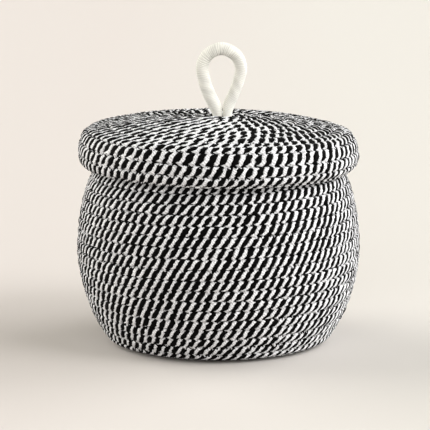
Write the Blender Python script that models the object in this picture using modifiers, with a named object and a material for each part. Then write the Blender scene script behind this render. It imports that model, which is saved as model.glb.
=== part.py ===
# Round lidded basket, wound from a thick cord that is covered in black and white stitches.
# The cord winds from the middle of the base outwards and up the wall, and a second one makes
# the lid. The lid lifts straight up by a loop of white cord that is lashed underneath it.

import math

import bmesh
import bpy
import numpy as np

MM = 0.001

# Covered cord of the body and the lid
CORD_THICKNESS = 10.0 * MM      # through the wall
BODY_ROW_PITCH = 10.0 * MM      # from one row of the body to the next
LID_ROW_PITCH = 11.0 * MM       # the lid's rows are a little wider
GROOVE_DEPTH = 1.4 * MM         # of the groove between two rows
SEAM_GAP = 0.3 * MM             # between two solids that touch on the real basket

# Body
BASE_RADIUS = 90.0 * MM         # where the flat base is parted from the wall
FOOT_WIDTH = 8.0 * MM           # flat foot of the wall, round the base
BELLY_RADIUS = 130.0 * MM
BELLY_HEIGHT = 86.0 * MM
NECK_RADIUS = 109.0 * MM        # just inside the lid's lower edge
NECK_HEIGHT = 167.0 * MM
RIM_INSET = 2.0 * MM            # how much narrower the rim is than the neck
RIM_HEIGHT = 189.0 * MM

# Shares of the way from foot to belly: outwards, upwards
LOWER_WALL_SHARES = (
    (0.0, 0.0), (0.16, 0.04), (0.32, 0.14), (0.56, 0.30), (0.82, 0.57), (0.97, 0.84),
)
# Shares of the way from belly to neck: inwards, upwards
UPPER_WALL_SHARES = (
    (0.0, 0.0), (0.02, 0.16), (0.14, 0.43), (0.43, 0.73), (0.65, 0.86), (0.90, 0.96),
)

# Lid
LID_CLEARANCE = 4.5 * MM        # between the neck and the skirt's lower edge
LID_BULGE = 5.0 * MM            # how far the skirt swells beyond its lower edge
CROWN_INSET = 13.5 * MM         # from the widest place in to the crown's edge
CROWN_DROP = 11.0 * MM          # from the lid's top down to the crown's edge
SKIRT_DROP = 33.5 * MM          # from the crown's edge down to the lower edge's row
SEAT_GAP = 0.3 * MM             # between the rim and the underside of the crown

# Shares of the crown's radius and of its drop
CROWN_SHARES = ((0.0, 0.0), (0.35, 0.0), (0.65, 0.09), (0.87, 0.45))
# Shares of the crown's inset and of the skirt's drop
SKIRT_SHARES = ((0.0, 0.0), (0.70, 0.25), (1.0, 0.55), (0.91, 0.82))

# Loop handle
HANDLE_THICKNESS = 10.8 * MM    # over the winding
WINDING_THICKNESS = 1.1 * MM
CORE_GAP = 0.3 * MM             # between the core cord and its winding
LEG_GAP = 0.3 * MM              # between the two legs where they are pressed together
LOOP_WIDTH = 46.5 * MM          # over all
LOOP_HEIGHT = 70.0 * MM         # above the lid
LOOP_WIDEST = 40.0 * MM         # height of the widest place above the lid
LEG_STRAIGHT = 7.0 * MM         # straight part of a leg above the lid
LEG_TAIL = 2.5 * MM             # of a leg below the lashing
CORE_TAIL = 1.0 * MM            # of bare core below the winding
HANDLE_OFFSET = 4.0 * MM        # of the loop from the lid's middle
LEG_HOLE_GAP = 0.3 * MM         # round the legs in the crown

# Lashing round the legs, under the lid
LASH_THREAD = 2.0 * MM
LASH_SPACING = 0.5 * MM         # between two turns
LASH_GAP = 0.3 * MM             # to the legs and to the crown
LASH_TURNS = 3

# Facets
COLUMNS = 32                    # around the basket
ROW_SAMPLES = 3                 # on a row
INNER_SPACING = 14.0 * MM       # between the rings of a plain inner side
LINE_STEPS = 40                 # on each stretch of an outline
RIM_STEPS = 5                   # over a rounded edge
SPIRAL_START = 12.0 * MM        # radius where the rows begin to show
LEG_STEPS = 4
SIDE_STEPS = 9
TOP_STEPS = 9
LASH_STEPS = 24                 # in a turn
HOLE_SIDES = 24
CUT_OVERRUN = 3.0 * MM


class Line:
    """An outline (radius, height) with a place and an outward side at each length along it."""

    def __init__(self, points, lowest=None):
        dense = catmull_rom(np.array(points))
        if lowest is not None:
            dense[:, 1] = np.maximum(dense[:, 1], lowest)
        steps = np.hypot(*np.diff(dense, axis=0).T)
        keep = np.concatenate([[True], steps > 0.0])
        self.points = dense[keep]
        steps = np.hypot(*np.diff(self.points, axis=0).T)
        self.lengths = np.concatenate([[0.0], np.cumsum(steps)])
        slopes = np.gradient(self.points, self.lengths, axis=0)
        slopes /= np.linalg.norm(slopes, axis=1, keepdims=True)
        self.slopes = slopes

    def at(self, lengths, depth=0.0):
        """Radius and height at these lengths, a depth below the surface on the left of the line."""
        radius, height, run, rise = (
            np.interp(lengths, self.lengths, values)
            for values in (*self.points.T, *self.slopes.T)
        )
        size = np.hypot(run, rise)
        return radius - rise / size * depth, height + run / size * depth

    def length_at_radius(self, radius):
        """Length along the line where it first reaches a radius."""
        first = int(np.argmax(self.points[:, 0] >= radius))
        return float(self.lengths[first])


def catmull_rom(points):
    """Smooth line through the points, its bends spread by the square root of their spacing."""
    before = 2.0 * points[0] - points[1]
    after = 2.0 * points[-1] - points[-2]
    knots = np.vstack([before, points, after])
    spans = np.sqrt(np.linalg.norm(np.diff(knots, axis=0), axis=1))
    times = np.concatenate([[0.0], np.cumsum(spans)])
    pieces = []
    for index in range(1, len(knots) - 2):
        t = np.linspace(times[index], times[index + 1], LINE_STEPS, endpoint=False)[:, None]
        t0, t1, t2, t3 = times[index - 1:index + 3]
        p0, p1, p2, p3 = knots[index - 1:index + 3]
        a1 = (t1 - t) / (t1 - t0) * p0 + (t - t0) / (t1 - t0) * p1
        a2 = (t2 - t) / (t2 - t1) * p1 + (t - t1) / (t2 - t1) * p2
        a3 = (t3 - t) / (t3 - t2) * p2 + (t - t2) / (t3 - t2) * p3
        b1 = (t2 - t) / (t2 - t0) * a1 + (t - t0) / (t2 - t0) * a2
        b2 = (t3 - t) / (t3 - t1) * a2 + (t - t1) / (t3 - t1) * a3
        pieces.append((t2 - t) / (t2 - t1) * b1 + (t - t1) / (t2 - t1) * b2)
    return np.vstack(pieces + [points[-1:]])


def body_line():
    """Outer side of the body, from the middle of the base out and up to the rim."""
    points = [(0.0, 0.0), (BASE_RADIUS, 0.0)]
    foot_radius = BASE_RADIUS + FOOT_WIDTH
    for out, up in LOWER_WALL_SHARES:
        points.append((foot_radius + (BELLY_RADIUS - foot_radius) * out, BELLY_HEIGHT * up))
    for inwards, up in UPPER_WALL_SHARES:
        points.append((
            BELLY_RADIUS - (BELLY_RADIUS - NECK_RADIUS) * inwards,
            BELLY_HEIGHT + (NECK_HEIGHT - BELLY_HEIGHT) * up,
        ))
    points.append((NECK_RADIUS, NECK_HEIGHT))
    points.append((NECK_RADIUS - RIM_INSET, RIM_HEIGHT - CORD_THICKNESS / 2))
    return Line(points, lowest=0.0)


def lid_points():
    """Outer side of the lid, from its middle out and down, its top at height zero."""
    foot_radius = NECK_RADIUS + LID_CLEARANCE + CORD_THICKNESS
    crown_radius = foot_radius + LID_BULGE - CROWN_INSET
    points = [(crown_radius * out, -CROWN_DROP * down) for out, down in CROWN_SHARES]
    for out, down in SKIRT_SHARES:
        points.append((crown_radius + CROWN_INSET * out, -CROWN_DROP - SKIRT_DROP * down))
    points.append((foot_radius, -CROWN_DROP - SKIRT_DROP))
    return points, crown_radius


def lid_line():
    """The lid's outer side where it lies on the body, and the radius that parts its crown."""
    points, crown_radius = lid_points()
    flat = Line(points)
    rim_outer = NECK_RADIUS - RIM_INSET
    lengths = np.linspace(0.0, flat.length_at_radius(crown_radius), LINE_STEPS * LINE_STEPS)
    radius, height = flat.at(lengths, -CORD_THICKNESS)
    over_rim = np.abs(radius - (rim_outer - CORD_THICKNESS / 2))
    reach = CORD_THICKNESS / 2 + SEAT_GAP
    near = over_rim < reach
    seat = np.min(height[near] - np.sqrt(reach ** 2 - over_rim[near] ** 2))
    rim_middle = RIM_HEIGHT - CORD_THICKNESS / 2
    lift = rim_middle - seat
    return Line([(r, z + lift) for r, z in points]), crown_radius, lift


def groove(rows):
    """Depth below a row's crest at a place counted in rows: deepest where two rows meet."""
    across = 2.0 * (rows % 1.0) - 1.0
    return GROOVE_DEPTH * (1.0 - np.sqrt(np.maximum(0.0, 1.0 - across ** 2)))


def wound_mesh(name, line, pitch, start, end, inner, side):
    """Turned shell whose outer side shows the cord's rows as one unbroken spiral.

    line is the outer side between two lengths along it, pitch is the height of a row, side is
    1 or -1 for the hand on which the material lies, and inner is the rest of the section, from
    the outer side's end back to its start. A column's samples climb by one row in each turn, so
    that the last column meets the first one a row further on.
    """
    turns = np.arange(COLUMNS) / COLUMNS
    first = math.floor((start / pitch - 1.0) * ROW_SAMPLES)
    last = math.ceil(end / pitch * ROW_SAMPLES)
    samples = np.arange(first, last + 1) / ROW_SAMPLES
    along = np.clip(pitch * (samples[None, :] + turns[:, None]), start, end)
    depth = groove(along / pitch - turns[:, None])
    depth *= np.clip(line.at(along)[0] / SPIRAL_START - 1.0, 0.0, 1.0)
    radius, height = line.at(along, side * depth)
    inner = np.array(inner)
    radius = np.hstack([radius, np.tile(inner[:, 0], (COLUMNS, 1))])
    height = np.hstack([height, np.tile(inner[:, 1], (COLUMNS, 1))])
    angle = 2.0 * math.pi * turns[:, None]
    places = np.stack([radius * np.cos(angle), radius * np.sin(angle), height], axis=-1)

    outer_count = len(samples)
    count = radius.shape[1]
    own = np.arange(count)
    shifted = own.copy()
    shifted[:outer_count] = np.minimum(own[:outer_count] + ROW_SAMPLES, outer_count - 1)
    faces = []
    for column in range(COLUMNS):
        closing = column == COLUMNS - 1
        there = (shifted if closing else own) + ((column + 1) % COLUMNS) * count
        here = own + column * count
        corners = np.stack([here, there, np.roll(there, -1), np.roll(here, -1)], axis=1)
        faces += [list(dict.fromkeys(face)) for face in corners.tolist()]
    mesh = bpy.data.meshes.new(name)
    mesh.from_pydata(places.reshape(-1, 3).tolist(), [], faces)
    work = bmesh.new()
    work.from_mesh(mesh)
    bmesh.ops.remove_doubles(work, verts=work.verts, dist=SEAM_GAP / 100)
    bmesh.ops.recalc_face_normals(work, faces=work.faces)
    work.to_mesh(mesh)
    work.free()
    return mesh


def spaced(start, end, spacing):
    """Even lengths from start to end, about a spacing apart."""
    count = max(1, math.ceil(abs(end - start) / spacing))
    return np.linspace(start, end, count + 1)


def offset_points(line, lengths, depth):
    """Points at these lengths, a depth below the line."""
    return list(zip(*line.at(lengths, depth)))


def rounded_edge(line, end, side):
    """Half circle from the line's end over the edge of the last row to its inner side."""
    outer = np.array(line.at(end))
    inner = np.array(line.at(end, side * CORD_THICKNESS))
    middle = (outer + inner) / 2
    across = outer - middle
    onward = np.array([-across[1], across[0]]) * side
    angles = np.linspace(0.0, math.pi, RIM_STEPS + 2)[1:-1]
    return [tuple(middle + across * math.cos(a) + onward * math.sin(a)) for a in angles]


def finish_mesh(mesh):
    """Smooth shading with a crease wherever two facets meet sharply."""
    mesh.shade_smooth()
    mesh.set_sharp_from_angle(angle=math.radians(50))


def add_object(name, data, material, collection):
    """New object of the basket with its own material."""
    item = bpy.data.objects.new(name, data)
    item.data.materials.append(material)
    collection.objects.link(item)
    return item


def make_material(name, colour, roughness):
    """Principled material in one colour."""
    material = bpy.data.materials.new(name)
    material.use_nodes = True
    shader = material.node_tree.nodes["Principled BSDF"]
    shader.inputs["Base Color"].default_value = (*colour, 1.0)
    shader.inputs["Roughness"].default_value = roughness
    shader.inputs["Metallic"].default_value = 0.0
    return material


def make_base(collection):
    """Flat base: rows wound outwards, cut level underneath where it stands on the floor."""
    floor = Line([(0.0, CORD_THICKNESS), (BASE_RADIUS, CORD_THICKNESS)])
    end = floor.length_at_radius(BASE_RADIUS)
    start = SPIRAL_START / 2
    under = [(BASE_RADIUS, 0.0), (0.0, 0.0), (0.0, CORD_THICKNESS)]
    mesh = wound_mesh("basket_base", floor, BODY_ROW_PITCH, start, end, under, -1)
    finish_mesh(mesh)
    material = make_material("base yarn", (0.30, 0.29, 0.27), 0.9)
    return add_object("basket_base", mesh, material, collection)


def make_wall(line, parting, collection):
    """Wall: rows wound up from the base, over the belly and in to the rounded rim."""
    start = parting + SEAM_GAP
    end = line.lengths[-1]
    inside = rounded_edge(line, end, 1)
    inside += offset_points(line, spaced(end, start, INNER_SPACING), CORD_THICKNESS)
    mesh = wound_mesh("basket_wall", line, BODY_ROW_PITCH, start, end, inside, 1)
    finish_mesh(mesh)
    material = make_material("wall yarn", (0.33, 0.32, 0.30), 0.9)
    return add_object("basket_wall", mesh, material, collection)


def make_crown(line, parting, top, collection, cutters):
    """Domed top of the lid, with a hole in its middle for the two legs of the handle."""
    start = SPIRAL_START / 2
    under = offset_points(line, spaced(parting, start, INNER_SPACING), -CORD_THICKNESS)
    under += [(0.0, under[-1][1]), (0.0, top)]
    mesh = wound_mesh("lid_crown", line, LID_ROW_PITCH, start, parting, under, -1)
    finish_mesh(mesh)
    material = make_material("crown yarn", (0.35, 0.34, 0.32), 0.9)
    crown = add_object("lid_crown", mesh, material, collection)
    cut = crown.modifiers.new("leg hole", "BOOLEAN")
    cut.operation = "DIFFERENCE"
    cut.object = leg_hole_cutter(top, cutters)
    return crown


def leg_hole_cutter(top, cutters):
    """Upright slot with round ends that both legs pass through."""
    radius = HANDLE_THICKNESS / 2 + LEG_HOLE_GAP
    depth = CORD_THICKNESS + 2 * CUT_OVERRUN
    mesh = bpy.data.meshes.new("leg_hole")
    work = bmesh.new()
    bmesh.ops.create_cone(
        work, cap_ends=True, segments=HOLE_SIDES, radius1=radius, radius2=radius, depth=depth,
    )
    half_step = math.pi / HOLE_SIDES
    for vertex in work.verts:
        angle = math.atan2(vertex.co.y, vertex.co.x) + half_step
        x = radius * math.cos(angle)
        vertex.co.x = x + math.copysign(leg_spacing(), x)
        vertex.co.y = radius * math.sin(angle)
    work.to_mesh(mesh)
    work.free()
    cutter = bpy.data.objects.new("leg_hole", mesh)
    cutter.location = (HANDLE_OFFSET, 0.0, top - CORD_THICKNESS / 2)
    cutter.hide_render = True
    cutter.display_type = "WIRE"
    cutters.objects.link(cutter)
    return cutter


def make_skirt(line, parting, collection):
    """Turned-down edge of the lid, which fits loosely over the neck."""
    start = parting + SEAM_GAP
    end = line.lengths[-1]
    inside = rounded_edge(line, end, -1)
    inside += offset_points(line, spaced(end, start, INNER_SPACING), -CORD_THICKNESS)
    mesh = wound_mesh("lid_skirt", line, LID_ROW_PITCH, start, end, inside, -1)
    finish_mesh(mesh)
    material = make_material("skirt yarn", (0.36, 0.35, 0.33), 0.9)
    return add_object("lid_skirt", mesh, material, collection)


def leg_spacing():
    """From the loop's middle to the middle of a leg where the legs are pressed together."""
    return HANDLE_THICKNESS / 2 + LEG_GAP / 2


def lash_height():
    """Height of the lashing's turns, from the lowest to the highest point."""
    return LASH_TURNS * (LASH_THREAD + LASH_SPACING) + LASH_THREAD


def loop_points(top, extra):
    """Middle line of the loop: up one leg, out, over the top, and the same back down."""
    under = top - CORD_THICKNESS
    foot = under - LASH_GAP - lash_height() - LEG_TAIL - extra
    bend = top + LEG_STRAIGHT
    widest = top + LOOP_WIDEST
    half_width = (LOOP_WIDTH - HANDLE_THICKNESS) / 2
    arch = LOOP_HEIGHT - LOOP_WIDEST - HANDLE_THICKNESS / 2
    leg = leg_spacing()
    half = [(leg, foot + (bend - foot) * i / LEG_STEPS) for i in range(LEG_STEPS)]
    for i in range(SIDE_STEPS):
        t = i / SIDE_STEPS
        ease = t * t * (3.0 - 2.0 * t)
        half.append((leg + (half_width - leg) * ease, bend + (widest - bend) * t))
    for i in range(TOP_STEPS):
        angle = math.pi / 2 * i / TOP_STEPS
        half.append((half_width * math.cos(angle), widest + arch * math.sin(angle)))
    whole = half + [(0.0, widest + arch)] + [(-x, z) for x, z in reversed(half)]
    return [(HANDLE_OFFSET + x, 0.0, z) for x, z in whole]


def tube_curve(name, points, radius, resolution, caps):
    """Round tube along the points."""
    curve = bpy.data.curves.new(name, "CURVE")
    curve.dimensions = "3D"
    curve.bevel_depth = radius
    curve.bevel_resolution = resolution
    curve.use_fill_caps = caps
    spline = curve.splines.new("POLY")
    spline.points.add(len(points) - 1)
    for target, place in zip(spline.points, points):
        target.co = (*place, 1.0)
    spline.use_smooth = True
    return curve


def make_handle_core(top, collection):
    """Cord inside the loop, bare for a little at its two ends under the lid."""
    radius = HANDLE_THICKNESS / 2 - WINDING_THICKNESS - CORE_GAP
    curve = tube_curve("handle_core", loop_points(top, CORE_TAIL), radius, 2, True)
    material = make_material("handle cord", (0.72, 0.69, 0.62), 0.9)
    return add_object("handle_core", curve, material, collection)


def make_handle_winding(top, collection):
    """White thread wound closely round the loop, as a sleeve that is open at both ends."""
    curve = tube_curve("handle_winding", loop_points(top, 0.0), HANDLE_THICKNESS / 2, 3, False)
    material = make_material("handle thread", (0.86, 0.84, 0.78), 0.75)
    winding = add_object("handle_winding", curve, material, collection)
    sleeve = winding.modifiers.new("sleeve", "SOLIDIFY")
    sleeve.thickness = WINDING_THICKNESS
    sleeve.offset = -1.0
    sleeve.use_even_offset = True
    return winding


def lashing_points(top):
    """Turns of thread round both legs, each a straight-sided loop that climbs one pitch."""
    reach = HANDLE_THICKNESS / 2 + LASH_GAP + LASH_THREAD / 2
    straight = 2.0 * leg_spacing()
    perimeter = 2.0 * straight + 2.0 * math.pi * reach
    pitch = LASH_THREAD + LASH_SPACING
    highest = top - CORD_THICKNESS - LASH_GAP - LASH_THREAD / 2
    points = []
    for step in range(LASH_TURNS * LASH_STEPS + 1):
        turn = step / LASH_STEPS
        place = turn % 1.0 * perimeter
        half = perimeter / 2
        flip = 1.0 if place < half else -1.0
        place %= half
        if place < straight:
            x, y = place - straight / 2, -reach
        else:
            angle = (place - straight) / reach - math.pi / 2
            x, y = straight / 2 + reach * math.cos(angle), reach * math.sin(angle)
        points.append((HANDLE_OFFSET + flip * x, flip * y, highest - pitch * turn))
    return points


def least_gap(points, thickness, turn_steps):
    """Narrowest space between two turns of a winding, measured on its points."""
    places = np.array(points)
    apart = np.linalg.norm(places[:, None] - places[None, :], axis=-1)
    steps = np.abs(np.subtract.outer(np.arange(len(places)), np.arange(len(places))))
    return float(np.min(apart[steps > turn_steps / 2]) - thickness)


def make_lashing(top, collection):
    """Thread lashed round both legs, too wide for the hole, so that the loop can't pull out."""
    points = lashing_points(top)
    gap = least_gap(points, LASH_THREAD, LASH_STEPS)
    print("handle_lashing: least gap between turns", round(gap / MM, 2), "mm")
    curve = tube_curve("handle_lashing", points, LASH_THREAD / 2, 1, True)
    material = make_material("lashing thread", (0.80, 0.78, 0.72), 0.8)
    return add_object("handle_lashing", curve, material, collection)


def main():
    for item in list(bpy.data.objects):
        bpy.data.objects.remove(item, do_unlink=True)
    collection = bpy.data.collections.new("knitting_basket")
    cutters = bpy.data.collections.new("cutters")
    for group in (collection, cutters):
        bpy.context.scene.collection.children.link(group)

    body = body_line()
    body_parting = body.length_at_radius(BASE_RADIUS)
    make_base(collection)
    make_wall(body, body_parting, collection)

    lid, crown_radius, top = lid_line()
    lid_parting = lid.length_at_radius(crown_radius)
    make_crown(lid, lid_parting, top, collection, cutters)
    make_skirt(lid, lid_parting, collection)

    make_handle_core(top, collection)
    make_handle_winding(top, collection)
    make_lashing(top, collection)
    print("lid's top at", round(top / MM, 1), "mm")


main()
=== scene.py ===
# Round lidded basket, wound from a thick cord and worked over in white and black yarn,
# with a loop of white cord on its loose lid.
import math

import bpy
import numpy as np
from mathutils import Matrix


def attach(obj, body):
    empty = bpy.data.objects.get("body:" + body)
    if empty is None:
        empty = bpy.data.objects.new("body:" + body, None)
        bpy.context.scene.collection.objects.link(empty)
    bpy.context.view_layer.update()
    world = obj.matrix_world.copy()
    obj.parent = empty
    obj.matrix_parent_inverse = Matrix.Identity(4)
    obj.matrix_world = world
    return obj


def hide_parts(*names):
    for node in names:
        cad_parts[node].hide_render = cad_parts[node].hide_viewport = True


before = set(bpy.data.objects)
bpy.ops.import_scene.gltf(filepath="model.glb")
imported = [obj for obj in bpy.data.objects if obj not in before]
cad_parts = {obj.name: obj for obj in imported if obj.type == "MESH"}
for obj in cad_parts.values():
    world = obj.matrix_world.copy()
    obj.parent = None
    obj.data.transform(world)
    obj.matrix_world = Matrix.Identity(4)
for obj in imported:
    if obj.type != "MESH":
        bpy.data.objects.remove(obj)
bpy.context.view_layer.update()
scene = bpy.context.scene
mm = 0.001
turn = 2.0 * math.pi


def smooth(value, low=0.0, high=1.0):
    # 0 below low, 1 above high and an S-curve between them
    t = np.clip((value - low) / (high - low), 0.0, 1.0)
    return t * t * (3.0 - 2.0 * t)


def swell(value, start, full, fall, stop):
    # 0 up to start, an S-curve up to 1, and another from fall down to 0 at stop
    return smooth(value, start, full) * (1.0 - smooth(value, fall, stop))


def gridFaces(rings, columns):
    # the faces between rings of points, each of which is closed in itself
    i, j = np.meshgrid(np.arange(rings - 1), np.arange(columns), indexing="ij")
    ring, after = i * columns, (j + 1) % columns
    return np.stack([ring + j, ring + after, ring + columns + after, ring + columns + j], -1).reshape(-1, 4)


def endCaps(rings, columns):
    # one face over the first ring and one over the last
    return np.stack([np.arange(columns)[::-1], np.arange(columns) + (rings - 1) * columns])


def newMesh(name, vertices, faces, uv=None, shade=None):
    # faces is a list of arrays, each with one face in a row; uv and shade have a value for each vertex
    mesh = bpy.data.meshes.new(name)
    mesh.vertices.add(len(vertices))
    mesh.vertices.foreach_set("co", np.asarray(vertices, dtype=np.float32).ravel())
    corners = np.concatenate([part.ravel() for part in faces]).astype(np.int32)
    counts = np.concatenate([np.full(len(part), part.shape[1]) for part in faces])
    starts = np.concatenate([[0], np.cumsum(counts)[:-1]])
    mesh.loops.add(len(corners))
    mesh.loops.foreach_set("vertex_index", corners)
    mesh.polygons.add(len(counts))
    mesh.polygons.foreach_set("loop_start", starts.astype(np.int32))
    mesh.update(calc_edges=True)
    if uv is not None:
        layer = mesh.uv_layers.new(name="yarnUV")
        layer.uv.foreach_set("vector", np.asarray(uv, dtype=np.float32)[corners].ravel())
    if shade is not None:
        values = mesh.attributes.new("yarnToneAndPaintedShade", "FLOAT", "POINT")
        values.data.foreach_set("value", np.asarray(shade, dtype=np.float32).ravel())
    mesh.shade_smooth()
    return mesh


def addPiece(name, mesh, material, body, nodes):
    piece = bpy.data.objects.new(name, mesh)
    mesh.materials.append(material)
    scene.collection.objects.link(piece)
    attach(piece, body)
    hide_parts(*nodes)


def newMaterial(name):
    material = bpy.data.materials.new(name)
    material.use_nodes = True
    return material, material.node_tree, material.node_tree.nodes["Principled BSDF"]


def nodeIn(tree, kind, **values):
    node = tree.nodes.new(kind)
    for name, value in values.items():
        setattr(node, name, value)
    return node


def setInputs(node, values):
    # sockets by name or number; three numbers are a colour
    for key, value in values.items():
        node.inputs[key].default_value = (*value, 1.0) if isinstance(value, tuple) else value


def mixColours(tree, shader, first, second, share):
    # the shader's own colour, between two others by the value of a socket
    mix = nodeIn(tree, "ShaderNodeMix", data_type="RGBA")
    setInputs(mix, {6: first, 7: second})
    tree.links.new(share, mix.inputs[0])
    tree.links.new(mix.outputs[2], shader.inputs["Base Color"])


# Camera and studio

camera = {
    "target": (0.0, 0.0, 0.100),
    "distance": 2.200,
    "elevation": 10.8,         # degrees above the horizon
    "focalPixels": 2388.0,
    "framePixels": 430,
    "axisAt": (218.5, 231.9),  # where the line of sight meets the picture
    "sensorWidth": 36.0,
    "clip": (0.05, 60.0),
}
studio = {
    "floorColour": (0.665, 0.617, 0.594),
    # painted light: the floor turns a little lighter towards the right
    "floorRightPaintedLight": (0.687, 0.660, 0.630),
    "floorBlend": (-0.20, 0.25),  # along x, from the floor's colour to the one on the right
    "floorReach": 9.0,
    "skyStrength": 0.25,
    "skyColour": (1.0, 0.98, 0.78),
    # strength, colour, spread in degrees, degrees round to the right from the camera's side, elevation
    "lamps": {
        "key": (1.61, (1.0, 1.0, 1.0), 34.0, 62.0, 36.0),
        "front": (1.70, (1.0, 1.0, 1.0), 80.0, 0.0, 8.0),
        "leftBack": (3.10, (1.0, 0.985, 0.93), 60.0, -115.0, 18.0),
        "rightBack": (3.30, (1.0, 1.0, 1.0), 60.0, 112.0, 18.0),
    },
}


def addCamera():
    data = bpy.data.cameras.new("photo camera")
    data.sensor_width = camera["sensorWidth"]
    data.lens = camera["focalPixels"] / camera["framePixels"] * data.sensor_width
    middle = camera["framePixels"] / 2
    data.shift_x = (middle - camera["axisAt"][0]) / camera["framePixels"]
    data.shift_y = (camera["axisAt"][1] - middle) / camera["framePixels"]
    data.clip_start, data.clip_end = camera["clip"]
    item = bpy.data.objects.new("photo camera", data)
    tilt = math.radians(camera["elevation"])
    x, y, z = camera["target"]
    item.location = (x, y - camera["distance"] * math.cos(tilt), z + camera["distance"] * math.sin(tilt))
    item.rotation_euler = (math.pi / 2 - tilt, 0.0, 0.0)
    scene.collection.objects.link(item)
    scene.camera = item


def addStudio():
    for name, (strength, colour, spread, azimuth, elevation) in studio["lamps"].items():
        sun = bpy.data.lights.new(name, "SUN")
        sun.energy = strength
        sun.color = colour
        sun.angle = math.radians(spread)
        item = bpy.data.objects.new(name, sun)
        item.rotation_euler = (math.pi / 2 - math.radians(elevation), 0.0, math.radians(azimuth))
        scene.collection.objects.link(item)

    world = bpy.data.worlds.new("studio")
    world.use_nodes = True
    sky = {"Color": studio["skyColour"], "Strength": studio["skyStrength"]}
    setInputs(world.node_tree.nodes["Background"], sky)
    scene.world = world

    corners = studio["floorReach"] * np.array([(-1, -1, 0), (1, -1, 0), (1, 1, 0), (-1, 1, 0)])
    mesh = newMesh("studio floor", corners, [np.array([[0, 1, 2, 3]])])
    floor = bpy.data.objects.new("studio floor", mesh)
    floor.data.materials.append(floorMaterial())
    scene.collection.objects.link(floor)


def floorMaterial():
    # matt, from one colour on the left to a slightly lighter one on the right, which is painted light
    material, tree, shader = newMaterial("studio floor")
    setInputs(shader, {"Roughness": 1.0, "Specular IOR Level": 0.0})
    place = nodeIn(tree, "ShaderNodeTexCoord")
    axes = nodeIn(tree, "ShaderNodeSeparateXYZ")
    tree.links.new(place.outputs["Object"], axes.inputs["Vector"])
    across = nodeIn(tree, "ShaderNodeMapRange")
    setInputs(across, {"From Min": studio["floorBlend"][0], "From Max": studio["floorBlend"][1]})
    tree.links.new(axes.outputs["X"], across.inputs["Value"])
    mixColours(tree, shader, studio["floorColour"], studio["floorRightPaintedLight"], across.outputs["Result"])
    return material


# Outlines of the two wound cords

def blend(first, second, start, stop, t):
    # from first to second while t goes from start to stop
    return (stop - t) / (stop - start) * first + (t - start) / (stop - start) * second


def smoothLine(points, steps=40):
    # curve through the points: every stretch blends its four nearest points, three times over, and
    # the bends are spread by the square root of the points' spacing
    points = np.array(points)
    knots = np.vstack([2.0 * points[0] - points[1], points, 2.0 * points[-1] - points[-2]])
    times = np.concatenate([[0.0], np.cumsum(np.sqrt(np.linalg.norm(np.diff(knots, axis=0), axis=1)))])
    stretches = []
    for i in range(1, len(knots) - 2):
        t = np.linspace(times[i], times[i + 1], steps, endpoint=False)[:, None]
        t0, t1, t2, t3 = times[i - 1:i + 3]
        p0, p1, p2, p3 = knots[i - 1:i + 3]
        middle = blend(p1, p2, t1, t2, t)
        before = blend(blend(p0, p1, t0, t1, t), middle, t0, t2, t)
        after = blend(middle, blend(p2, p3, t2, t3, t), t1, t3, t)
        stretches.append(blend(before, after, t1, t2, t))
    return np.vstack(stretches + [points[-1:]])


class Outline:
    # half section of a round form: radius and height along its length, and its slope there
    def __init__(self, line):
        steps = np.hypot(*np.diff(line, axis=0).T)
        self.points = line[np.concatenate([[True], steps > 0.0])]
        self.lengths = np.concatenate([[0.0], np.cumsum(steps[steps > 0.0])])
        slopes = np.gradient(self.points, self.lengths, axis=0)
        self.slopes = slopes / np.linalg.norm(slopes, axis=1, keepdims=True)

    def at(self, along):
        values = (*self.points.T, *self.slopes.T)
        radius, height, run, rise = (np.interp(along, self.lengths, each) for each in values)
        size = np.hypot(run, rise)
        return radius, height, run / size, rise / size

    def lengthAtRadius(self, radius):
        return float(self.lengths[int(np.argmax(self.points[:, 0] >= radius))])


bodyForm = {
    "cordThickness": 10.0 * mm,
    "baseRadius": 90.0 * mm,
    "footWidth": 8.0 * mm,
    "bellyRadius": 130.0 * mm,
    "bellyHeight": 86.0 * mm,
    "neckRadius": 109.0 * mm,
    "neckHeight": 167.0 * mm,
    "rimInset": 2.0 * mm,
    "rimHeight": 189.0 * mm,
    # points of the wall, as shares of the way out and up from the foot to the belly, and of the way
    # back and up from the belly to the neck
    "lowerShares": ((0.0, 0.0), (0.16, 0.04), (0.32, 0.14), (0.56, 0.30), (0.82, 0.57), (0.97, 0.84)),
    "upperShares": ((0.0, 0.0), (0.02, 0.16), (0.14, 0.43), (0.43, 0.73), (0.65, 0.86), (0.90, 0.96)),
    "rowPitch": 9.690 * mm,
    "rowPhase": 0.540,         # turns that the winding has made before it passes the right-hand side
    # white and black pairs in a turn, on the base by its radius and at the front of every later row
    "pairs": (
        (-0.26, 3.8), (9.0, 73.0), (10, 82.8), (11, 85.1), (12, 88.2), (13, 88.5), (14, 90.9),
        (15, 91.9), (16, 93.4), (17, 95.5), (18, 97.4), (19, 99.0), (20, 96.3), (21, 94.7), (22, 93.9),
        (23, 91.4), (24, 90.3), (25, 89.6),
    ),
    "wander": 0.03,            # how far the stitches stray along the rows, in pairs
    "wanderWaves": (12.0, 60.0),  # lengths of its waves, in pairs
    "edgeTilt": 0.0,
    "edgeTrim": 0.0,
    "rowGroove": 2.0 * mm,     # between two rows
    "footGap": 2.2 * mm,       # the row round the foot stands this far off the floor
    "foot": (88.0 * mm, 97.0 * mm, 116.0 * mm),
}
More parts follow.
